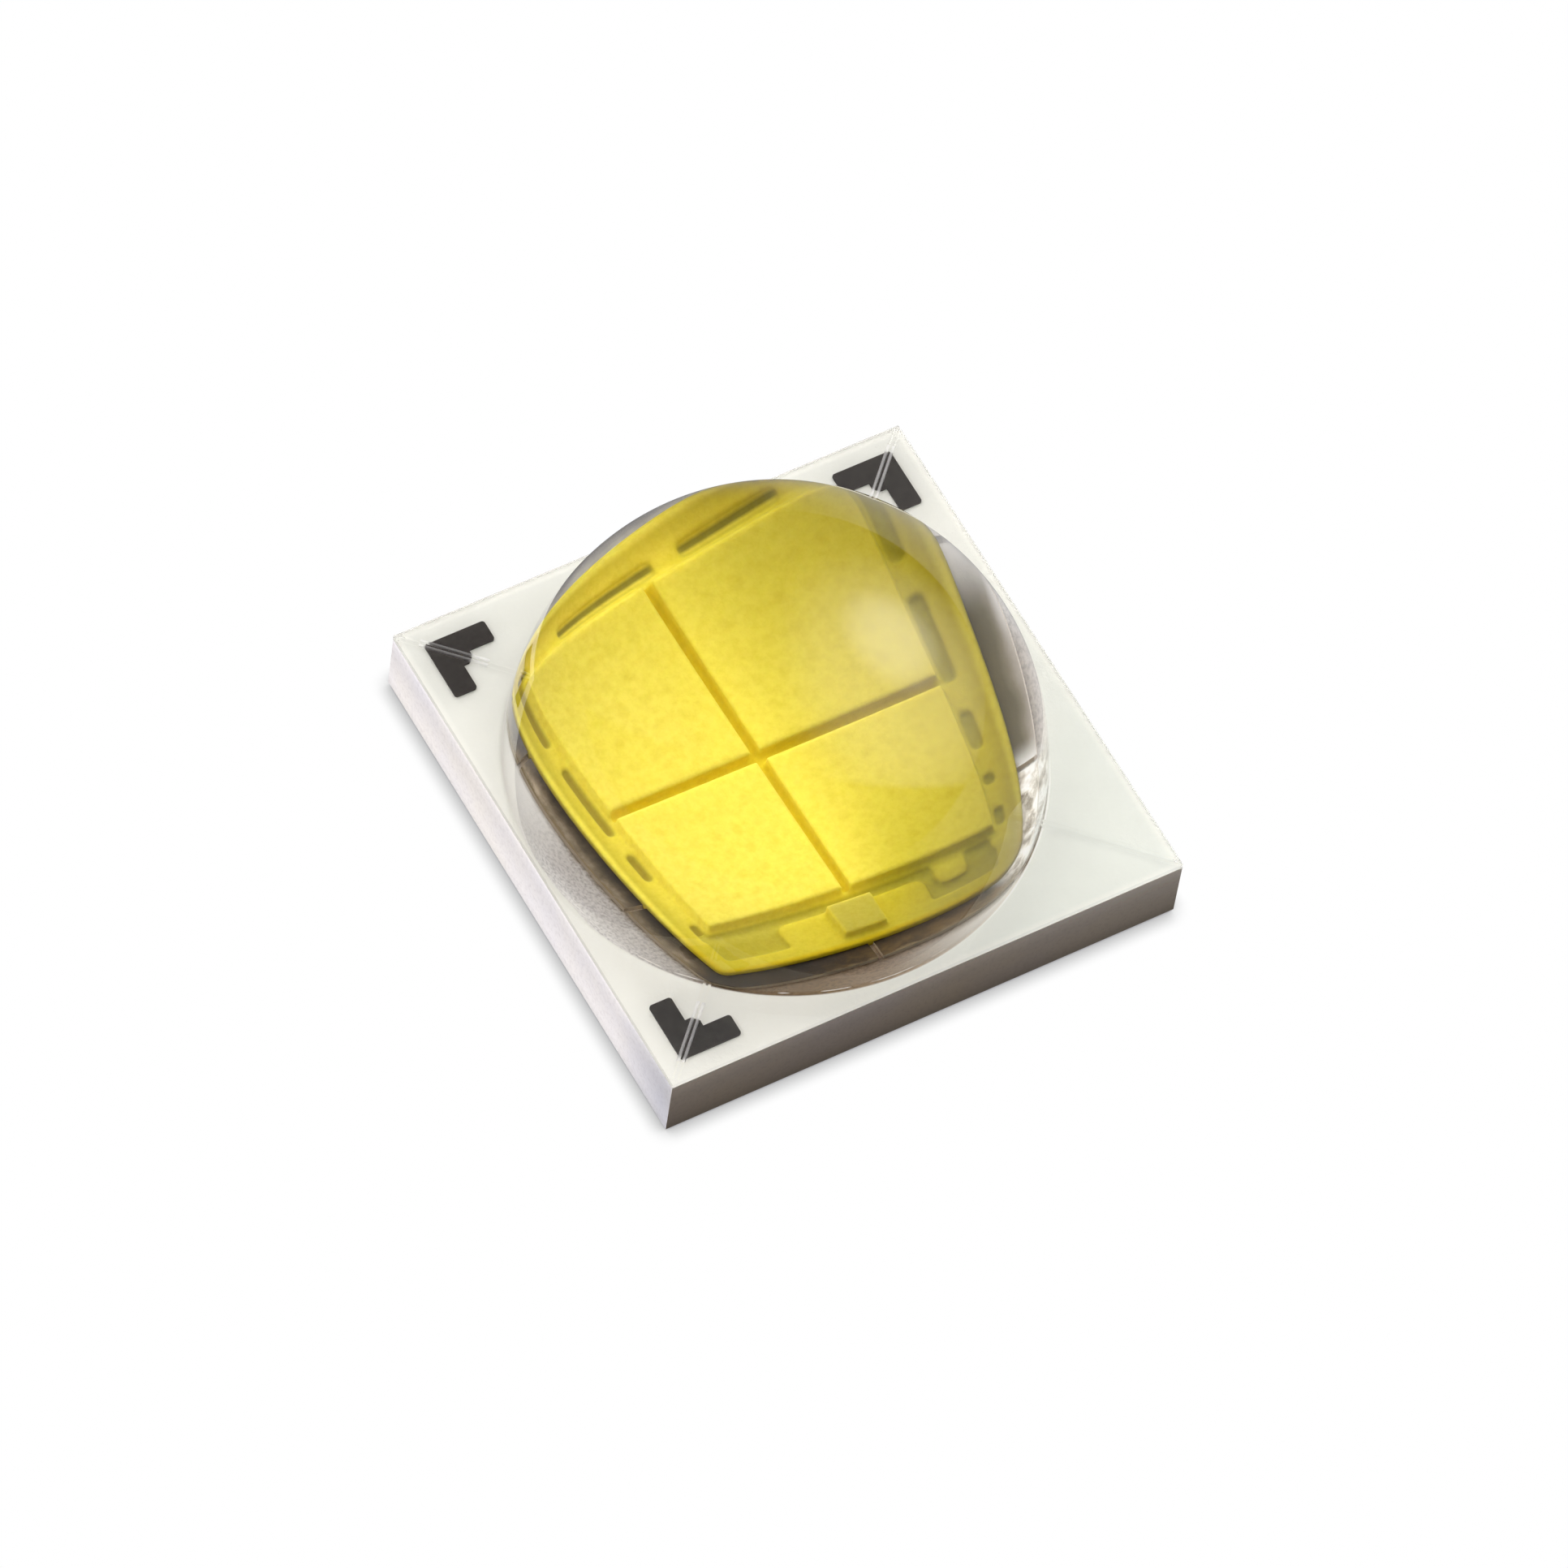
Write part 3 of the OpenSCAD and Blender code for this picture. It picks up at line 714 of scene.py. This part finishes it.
silicone = {
    "index": 1.55,
    "foot": 1.09,                         # height of the skin's top, where the dome's flank starts
    "low": (1.85, 2.15),                  # painted reflection tint: heights between which the flank's brownish gleam fades
    "front": (-1.5, -2.3),                # which it has only in front
    "gleam": (0.50, 0.30, 0.03),
    "frost": [(0.3, (0.80, 0.79, 0.80)), (0.7, (1.0, 0.99, 1.0))],
}


def siliconeMaterial():
    material, tree, shader, place = newMaterial("clearSilicone")
    x, y, z = axesInMm(tree, place)
    # painted reflection: the low front flank's reflections are tinted brownish
    low = calc(tree, "MULTIPLY",
               addRange(tree, z, *silicone["low"], 1.0, 0.0, smooth=True),
               calc(tree, "GREATER_THAN", z, silicone["foot"]))
    lowFront = calc(tree, "MULTIPLY", low, addRange(tree, y, *silicone["front"], smooth=True))
    gleam = addMix(tree, lowFront, (1.0, 1.0, 1.0), silicone["gleam"])
    tree.links.new(gleam, shader.inputs["Specular Tint"])
    shader.inputs["Base Color"].default_value = (1.0, 1.0, 1.0, 1.0)
    shader.inputs["Transmission Weight"].default_value = 1.0
    shader.inputs["IOR"].default_value = silicone["index"]
    shader.inputs["Roughness"].default_value = 0.0
    return material


def frostMaterial(name, clear):
    # the mould's corner channels leave the ridges dull
    material, tree, shader, place = newMaterial(name)
    grain = addNoise(tree, place, scale=9000.0, detail=4.0)
    tree.links.new(addRamp(tree, grain, silicone["frost"]), shader.inputs["Base Color"])
    addBump(tree, grain, shader, strength=0.4, distance=0.01)
    shader.inputs["Transmission Weight"].default_value = clear
    shader.inputs["IOR"].default_value = silicone["index"]
    shader.inputs["Roughness"].default_value = 0.45
    return material


plateLook = metalMaterial("goldPlating", (0.62, 0.44, 0.20), (0.86, 0.66, 0.36))
copperLook = metalMaterial("copperFill", (0.60, 0.30, 0.18), (0.85, 0.47, 0.30))

nodeLooks = {
    "ceramic": ceramicMaterial(),
    "pad": plateLook,
    "fills": copperLook,
    "trace": traceMaterial(),
    "bumps": plateLook,
    "mark": markMaterial(),
    "die": crystalMaterial("dieCrystal", (0.30, 0.42, 0.58), (0.42, 0.55, 0.70)),
    "guard": crystalMaterial("guardSilicon", (0.10, 0.10, 0.11), (0.16, 0.16, 0.17)),
}
for nodeName, node in nodes.items():
    looks = [look for word, look in nodeLooks.items() if word in nodeName.split("_")]
    if looks:
        dress(node, looks[0])
print("materials on the frame's nodes")


# Phosphor film: the frame's film, its edges softened as a cured coating's are

film = {
    "voxel": 0.02,     # grid of the new surface
    "soften": 14,      # passes that round the edges
    "sink": 0.002,     # how far the foot stands in the tile
    "drop": 0.2,       # how far its open edge is drawn down, before it is set level
    "under": 0.03,     # faces this near the foot are its underside
    "corners": [       # which corner, and how round the coating flowed there
        (1, -1, 0.45),
        (-1, -1, 0.12),
        (-1, 1, 0.35),
        (1, 1, 0.35),
    ],
    "cuts": (18, 36, 54, 72),
}


def roundCorners(low, high):
    # cuts facets off the corners of the mesh in edit mode; smoothing blends them later
    for sideX, sideY, radius in film["corners"]:
        x = (high.x if sideX > 0 else low.x) - sideX * radius
        y = (high.y if sideY > 0 else low.y) - sideY * radius
        for angle in film["cuts"]:
            across = math.cos(math.radians(angle)) * sideX
            along = math.sin(math.radians(angle)) * sideY
            bpy.ops.mesh.select_all(action="SELECT")
            bpy.ops.mesh.bisect(
                plane_co=(x + radius * across, y + radius * along, 0), plane_no=(across, along, 0),
                use_fill=True, clear_outer=True)


def makeFilm():
    piece = copyOf("phosphor_film", "phosphor_coat")
    low, high = corners("phosphor_film")
    foot = low.z - film["sink"]
    edit(piece)
    # only the outer skin stays: the undersides part it from the cavity's walls
    pick(piece, "FACE", lambda face: face.normal.z < -0.5)
    bpy.ops.mesh.delete(type="FACE")
    pick(piece, "FACE", lambda face: face.calc_center_median().z > high.z - hair)
    bpy.ops.mesh.select_linked()
    bpy.ops.mesh.select_all(action="INVERT")
    bpy.ops.mesh.delete(type="VERT")
    # its open edge goes down to the tile and is closed there
    pick(piece, "EDGE", lambda edge: edge.is_boundary)
    bpy.ops.mesh.extrude_region_move(TRANSFORM_OT_translate={"value": (0, 0, -film["drop"])})
    bpy.ops.transform.resize(value=(1, 1, 0), center_override=(0, 0, foot))
    bpy.ops.mesh.edge_face_add()
    roundCorners(low, high)
    bpy.ops.mesh.select_all(action="SELECT")
    bpy.ops.mesh.normals_make_consistent(inside=False)
    done()
    remesh = piece.modifiers.new("remesh", "REMESH")
    remesh.mode = "VOXEL"
    remesh.voxel_size = film["voxel"]
    smooth = piece.modifiers.new("smooth", "SMOOTH")
    smooth.factor = 0.5
    smooth.iterations = film["soften"]
    applyAll(piece)
    # one flat face replaces the fine grid underneath
    under = foot + film["under"]
    edit(piece)
    pick(piece, "FACE", lambda face: face.normal.z < -0.8 and face.calc_center_median().z < under)
    bpy.ops.mesh.delete(type="FACE")
    pick(piece, "EDGE", lambda edge: edge.is_boundary)
    bpy.ops.transform.resize(value=(1, 1, 0), center_override=(0, 0, foot))
    bpy.ops.mesh.edge_face_add()
    done()
    onlyThis(piece)
    bpy.ops.object.shade_smooth()
    toMetres(piece)
    return piece


coat = makeFilm()
dress(coat, phosphorMaterial())
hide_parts("phosphor_film")
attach(coat, "root")
print("phosphor film:", len(coat.data.polygons), "faces")


# Silicone lens: dome, foot, skin and corner ridges in one casting

lens = {
    "radius": 3.28,         # of the dome at its foot
    "skirt": 0.15,          # height of the straight wall
    "rise": 3.44,           # height of the rounded part
    "middle": (-0.2, -0.06),
    "skin": 0.08,           # thickness of the clear skin on the tile
    "foot": 0.05,           # radius of the fillet between the two
    "footSteps": 6,
    "around": 256,          # faces round the dome
    "up": 160,              # rings of the sphere it starts from
    "over": 0.3,            # how far the skin is cast past the tile before it is sawn
    "sink": 0.002,          # how far the underside stands in the tile
}

ridge = {
    "wide": 0.04,
    "high": 0.025,          # above the skin
    "gap": 0.025,           # between the two of a pair
    "root": 0.5,            # how far inside the dome's foot a ridge starts
    "round": 0.016,         # radius of its top edges
    "keel": 0.04,           # how deep it stands in the skin
    "dull": (3.75, 4.62),   # the stretch over the marks, from the tile's middle
}


def makeRidges(base, tileHalf):
    # a pair on each diagonal of the tile, as the mould's corner channels leave them
    start = lens["radius"] - ridge["root"]
    length = tileHalf * math.sqrt(2) - ridge["wide"] - ridge["gap"] - start
    height = ridge["high"] + ridge["keel"]
    top = base + lens["skin"] + ridge["high"]
    bpy.ops.object.select_all(action="DESELECT")
    bpy.ops.mesh.primitive_cube_add(size=1, location=(0, 0, 0))
    first = bpy.context.object
    edit(first)
    bpy.ops.mesh.select_all(action="SELECT")
    bpy.ops.transform.resize(value=(length, ridge["wide"], height))
    bpy.ops.transform.translate(value=(start + length / 2, 0, top - height / 2))
    pick(first, "EDGE", lambda edge: min(vertex.co.z for vertex in edge.verts) > top - hair)
    bpy.ops.mesh.bevel(offset=ridge["round"], segments=4)
    for at in ridge["dull"]:
        bpy.ops.mesh.select_all(action="SELECT")
        bpy.ops.mesh.bisect(plane_co=(at, 0, 0), plane_no=(1, 0, 0))
    done()
    places = [(degrees, side) for degrees in (45, 135, 225, 315) for side in (-1, 1)]
    copies = [first]
    while len(copies) < len(places):
        copy = first.copy()
        copy.data = first.data.copy()
        bpy.context.scene.collection.objects.link(copy)
        copies.append(copy)
    apart = ridge["gap"] + ridge["wide"]
    for copy, (degrees, side) in zip(copies, places):
        turn = Matrix.Rotation(math.radians(degrees), 4, "Z")
        copy.matrix_world = turn @ Matrix.Translation((0, side * apart / 2, 0))
    onlyThis(first)
    for copy in copies:
        copy.select_set(True)
    bpy.ops.object.join()
    bpy.ops.object.transform_apply(location=True, rotation=True, scale=True)
    return first


def stepsTo(side, start, step):
    # how many steps lead from start to the side of a square that they head for
    return (math.copysign(side, step) - start) / step if abs(step) > 1e-6 else math.inf


def makeLens():
    low, high = corners("silicone_lens")
    base = low.z
    x, y = lens["middle"]
    bpy.ops.object.select_all(action="DESELECT")
    bpy.ops.mesh.primitive_uv_sphere_add(
        segments=lens["around"], ring_count=lens["up"], radius=lens["radius"], location=(0, 0, 0))
    piece = bpy.context.object
    piece.name = "lens_casting"
    edit(piece)
    bpy.ops.mesh.select_all(action="SELECT")
    bpy.ops.transform.resize(value=(1, 1, lens["rise"] / lens["radius"]))
    bpy.ops.mesh.bisect(plane_co=(0, 0, 0), plane_no=(0, 0, 1), clear_inner=True)
    bpy.ops.mesh.select_all(action="SELECT")
    bpy.ops.transform.translate(value=(x, y, base + lens["skirt"]))
    # the rim goes down as the skirt, then turns out to the skin in a fillet
    pick(piece, "EDGE", lambda edge: edge.is_boundary)
    drop = lens["skin"] + lens["foot"] - lens["skirt"]
    bpy.ops.mesh.extrude_region_move(TRANSFORM_OT_translate={"value": (0, 0, drop)})
    radius = lens["radius"]
    quarter = math.pi / 2
    for step in range(1, lens["footSteps"] + 1):
        before = quarter * (step - 1) / lens["footSteps"]
        angle = quarter * step / lens["footSteps"]
        wider = lens["radius"] + lens["foot"] * (1 - math.cos(angle))
        lower = lens["foot"] * (math.sin(before) - math.sin(angle))
        bpy.ops.mesh.extrude_region_move(TRANSFORM_OT_translate={"value": (0, 0, lower)})
        bpy.ops.transform.resize(
            value=(wider / radius, wider / radius, 1), center_override=(x, y, 0))
        radius = wider
    # the flat skin is the same rim drawn out past the tile to a square outline
    bpy.ops.mesh.extrude_region_move(TRANSFORM_OT_translate={"value": (0, 0, 0)})
    mesh = bmesh.from_edit_mesh(piece.data)
    rim = [vertex for vertex in mesh.verts if vertex.select]
    half = high.x + lens["over"]
    for vertex in rim:
        ray = Vector((vertex.co.x - x, vertex.co.y - y))
        out = min(stepsTo(half, x, ray.x), stepsTo(half, y, ray.y))
        vertex.co.x = x + ray.x * out
        vertex.co.y = y + ray.y * out
    bmesh.update_edit_mesh(piece.data)
    bpy.ops.mesh.extrude_region_move(
        TRANSFORM_OT_translate={"value": (0, 0, -lens["skin"] - lens["sink"])})
    bpy.ops.mesh.edge_face_add()
    bpy.ops.mesh.select_all(action="SELECT")
    bpy.ops.mesh.remove_doubles(threshold=weld)
    bpy.ops.mesh.normals_make_consistent(inside=False)
    done()
    # the ridges join the casting, and the skin is sawn off along the tile's sides
    ridges = makeRidges(base, high.x)
    union = piece.modifiers.new("ridges", "BOOLEAN")
    union.operation = "UNION"
    union.solver = "EXACT"
    union.object = ridges
    applyAll(piece)
    bpy.data.objects.remove(ridges)
    edit(piece)
    for side in ((high.x, 0), (-high.x, 0), (0, high.y), (0, -high.y)):
        bpy.ops.mesh.select_all(action="SELECT")
        bpy.ops.mesh.bisect(
            plane_co=(*side, 0), plane_no=(*side, 0), use_fill=True, clear_outer=True)
    # the cuts leave a few points all but on top of each other
    bpy.ops.mesh.select_all(action="SELECT")
    bpy.ops.mesh.remove_doubles(threshold=weld)
    done()
    onlyThis(piece)
    bpy.ops.object.shade_smooth_by_angle(angle=math.radians(30))
    toMetres(piece)
    return piece


casting = makeLens()
dress(casting, siliconeMaterial())
casting.data.materials.append(frostMaterial("frostedSilicone", clear=0.85))
casting.data.materials.append(frostMaterial("clearerSilicone", clear=0.97))
skinTop = corners("silicone_lens")[0].z + lens["skin"]
tileHalf = corners("ceramic_tile")[1].x
for face in casting.data.polygons:
    at = face.center / mm
    overMark = ridge["dull"][0] < at.xy.length < ridge["dull"][1] and (at.x < 0 or at.y > 0)
    # of the skin's sawn sides, the two towards the back are a little rough
    sawn = abs(face.normal.z) < 0.5 and max(at.x, at.y) > tileHalf - hair
    if overMark and at.z > skinTop + hair:
        face.material_index = 2 if at.x < 0 < at.y else 1
    elif sawn:
        face.material_index = 2
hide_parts("silicone_lens")
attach(casting, "root")
print("silicone lens:", len(casting.data.polygons), "faces")


# Floor, light and camera

studio = {
    "floorSize": 1200.0,
    "contact": 0.25,               # how far the part's contact shadow spreads
    "contactTones": [                      # from the darkest corner to the open floor
        (0.35, (0.40, 0.40, 0.41)),
        (0.62, (0.66, 0.66, 0.66)),
        (0.97, (1.0, 1.0, 1.0)),
    ],
    "air": (0.058, 0.047, 0.036),  # light from everywhere
    "gleam": (0.02, 0.02, 0.02),   # what the dome mirrors where no soft box stands
    "backdrop": (0.98, 0.98, 0.98),
}

# Soft boxes far away: towards them, degrees to the edge of the full part and to the
# dark, brightness, colour. The first set lights the part.
lamps = {
    "right": ((0.6, 0.4, 0.69), 10.0, 58.0, 2.2, (1.0, 0.99, 0.97)),
    "key": ((-0.38, 0.45, 0.81), 20.0, 68.0, 2.6, (1.0, 0.995, 0.98)),
    "lowLeft": ((-0.9, 0.38, -0.3), 20.0, 52.0, 1.5, (1.0, 0.98, 0.99)),
}
# The second set is what the glossy dome mirrors: a wide panel with a bright middle,
# cut off straight along its near side.
panels = {
    "wide": ((0.704, -0.269, 0.658), 0.0, 59.8, 1.87, (1.0, 1.0, 0.98)),
    "bright": ((0.744, 0.019, 0.668), 0.0, 23.6, 2.6, (1.0, 1.0, 0.98)),
    "left": ((-0.85, 0.2, 0.0), 5.0, 55.0, 0.30, (1.0, 0.98, 1.0)),
}
panelEdge = ((0.454, 0.557, 0.696), 88.2, 91.2)
# and what it mirrors below the horizon
ground = {
    "right": ((0.9, -0.1, -0.3), 40.0, 70.0, 0.55, (1.0, 1.0, 1.0)),
    "left": ((-0.95, 0.0, -0.3), 40.0, 80.0, 0.2, (1.0, 0.98, 1.0)),
}
horizon = ((0, 0, -1), 88.0, 90.0)


def makeFloor():
    bpy.ops.object.select_all(action="DESELECT")
    bpy.ops.mesh.primitive_plane_add(size=studio["floorSize"] * mm, location=(0, 0, cadLow.z))
    floor = bpy.context.object
    floor.name = "studio_floor"
    # it glows as on a light table, and darkens only where the part stands close
    material, tree, shader, place = newMaterial("paleFloor")
    shade = tree.nodes.new("ShaderNodeAmbientOcclusion")
    shade.inputs["Distance"].default_value = studio["contact"] * mm
    glow = addRamp(tree, shade.outputs["AO"], studio["contactTones"])
    tree.links.new(glow, shader.inputs["Emission Color"])
    shader.inputs["Emission Strength"].default_value = 1.0
    shader.inputs["Base Color"].default_value = (0.0, 0.0, 0.0, 1.0)
    shader.inputs["Specular IOR Level"].default_value = 0.0
    dress(floor, material)
    # the part is lit and mirrored as if the floor weren't there
    floor.visible_diffuse = False
    floor.visible_glossy = False
    floor.visible_shadow = False


def facing(tree, place, towards, inner, outer):
    # 1 inside a cone round a direction, falling to 0 at its outer angle
    dot = tree.nodes.new("ShaderNodeVectorMath")
    dot.operation = "DOT_PRODUCT"
    dot.inputs[1].default_value = Vector(towards).normalized()
    tree.links.new(place.outputs["Generated"], dot.inputs[0])
    return addRange(
        tree, dot.outputs["Value"],
        math.cos(math.radians(outer)), math.cos(math.radians(inner)), smooth=True)


def addLights(tree, place, boxes, elsewhere):
    total = None
    for name, (towards, inner, outer, strength, colour) in boxes.items():
        box = tree.nodes.new("ShaderNodeVectorMath")
        box.operation = "MULTIPLY_ADD"
        box.label = name
        box.inputs[1].default_value = Vector(colour) * strength
        tree.links.new(facing(tree, place, towards, inner, outer), box.inputs[0])
        if total:
            tree.links.new(total, box.inputs[2])
        else:
            box.inputs[2].default_value = elsewhere
        total = box.outputs["Vector"]
    return total


def makeWorld():
    world = bpy.data.worlds.new("studioAir")
    bpy.context.scene.world = world
    world.use_nodes = True
    tree = world.node_tree
    back = tree.nodes["Background"]
    place = tree.nodes.new("ShaderNodeTexCoord")
    path = tree.nodes.new("ShaderNodeLightPath")
    light = addLights(tree, place, lamps, studio["air"])
    panel = addLights(tree, place, panels, studio["gleam"])
    gleam = addMix(tree, facing(tree, place, *panelEdge), studio["gleam"], panel)
    below = facing(tree, place, *horizon)
    gleam = addMix(tree, below, gleam, addLights(tree, place, ground, studio["gleam"]))
    mirrored = calc(tree, "MULTIPLY", path.outputs["Is Glossy Ray"], path.outputs["Is Reflection Ray"])
    total = addMix(tree, mirrored, light, gleam)
    # the camera itself sees a plain pale backdrop
    seen = addMix(tree, path.outputs["Is Camera Ray"], total, studio["backdrop"])
    tree.links.new(seen, back.inputs["Color"])


view = {
    "target": (-0.242, -0.366, 1.0),   # the point of the tile's top in the picture's middle
    "azimuth": -37.0,
    "elevation": 57.55,
    "roll": 9.4,
    "distance": 160.0,
    "lens": 306.2,
}


def makeCamera():
    azimuth = math.radians(view["azimuth"])
    elevation = math.radians(view["elevation"])
    roll = math.radians(view["roll"])
    back = Vector((
        math.sin(azimuth) * math.cos(elevation),
        -math.cos(azimuth) * math.cos(elevation),
        math.sin(elevation)))
    right = Vector((math.cos(azimuth), math.sin(azimuth), 0))
    up = back.cross(right)
    across = math.cos(roll) * right + math.sin(roll) * up
    upward = -math.sin(roll) * right + math.cos(roll) * up
    place = (Vector(view["target"]) + back * view["distance"]) * mm
    bpy.ops.object.select_all(action="DESELECT")
    bpy.ops.object.camera_add(location=place)
    camera = bpy.context.object
    camera.name = "photo_camera"
    turn = Matrix((across, upward, back)).transposed()
    camera.rotation_euler = turn.to_euler()
    camera.data.sensor_width = 36.0
    camera.data.lens = view["lens"]
    camera.data.clip_start = 0.01
    camera.data.clip_end = 10.0
    bpy.context.scene.camera = camera


makeFloor()
makeWorld()
makeCamera()
bpy.context.scene.view_settings.view_transform = "Standard"
print("studio ready")
